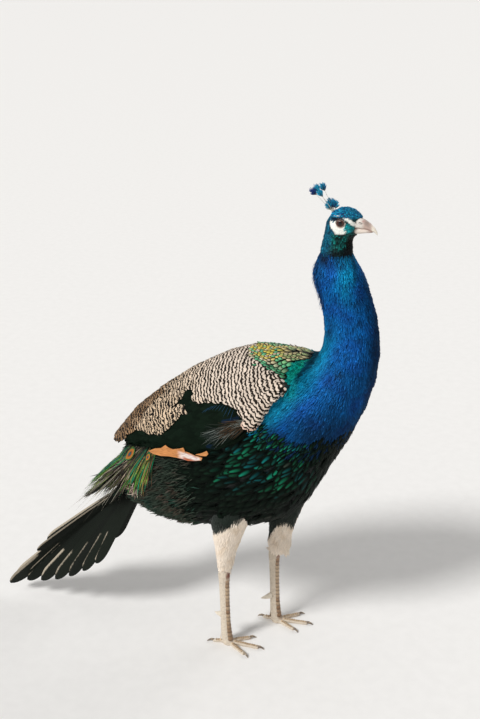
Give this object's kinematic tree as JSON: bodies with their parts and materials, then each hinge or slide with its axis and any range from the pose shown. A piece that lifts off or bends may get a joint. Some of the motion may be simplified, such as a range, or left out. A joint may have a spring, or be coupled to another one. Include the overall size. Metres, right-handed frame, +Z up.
{
  "type": "peacock",
  "caption": "Still, life-size model of a male Indian peafowl standing alert without its long train, with a blue neck and barred wings.",
  "frame": {"origin": "bottom centre of the model's bounding box, on the floor", "axes": "+X is the way the bill points, +Y is the bird's left, +Z is up"},
  "size_m": [0.7512, 0.2382, 0.9011],
  "materials": {
    "crown_feathers": "glossy teal-blue scale feathers",
    "blue_feathers": "silky cobalt-blue feathers with a sheen",
    "belly_feathers": "black-green feathers edged with emerald",
    "rump_feathers": "soft brown-black feathers",
    "barred_feathers": "cream feathers with wavy black bars, matt",
    "dark_feathers": "black feathers with a blue gloss",
    "rust_feathers": "cinnamon flight feathers, satin",
    "green_feathers": "emerald and bronze train feathers",
    "tail_feathers": "brown-black feathers with pale edges",
    "thigh_feathers": "short buff feathers, matt",
    "leg_scales": "pale horny scutes, satin",
    "claw": "horn",
    "bill": "pale horn, satin",
    "eye": "dark brown, glossy"
  },
  "bodies": {
    "root": {"head": "crown_feathers", "neck_upper": "blue_feathers", "neck_middle": "blue_feathers", "neck_lower": "blue_feathers", "trunk": "belly_feathers", "rump": "rump_feathers", "right_eye": "eye", "left_eye": "eye", "upper_bill": "bill", "lower_bill": "bill", "crest": "crown_feathers", "tail": "tail_feathers", "tail_coverts": "green_feathers", "right_wing_coverts": "barred_feathers", "right_wing_secondaries": "dark_feathers", "right_wing_primaries": "rust_feathers", "right_thigh": "thigh_feathers", "right_shank": "leg_scales", "right_foot": "leg_scales", "right_spur": "claw", "right_middle_claw": "claw", "right_inner_claw": "claw", "right_outer_claw": "claw", "right_hind_claw": "claw", "left_wing_coverts": "barred_feathers", "left_wing_secondaries": "dark_feathers", "left_wing_primaries": "rust_feathers", "left_thigh": "thigh_feathers", "left_shank": "leg_scales", "left_foot": "leg_scales", "left_spur": "claw", "left_middle_claw": "claw", "left_inner_claw": "claw", "left_outer_claw": "claw", "left_hind_claw": "claw"}
  },
  "joints": []
}
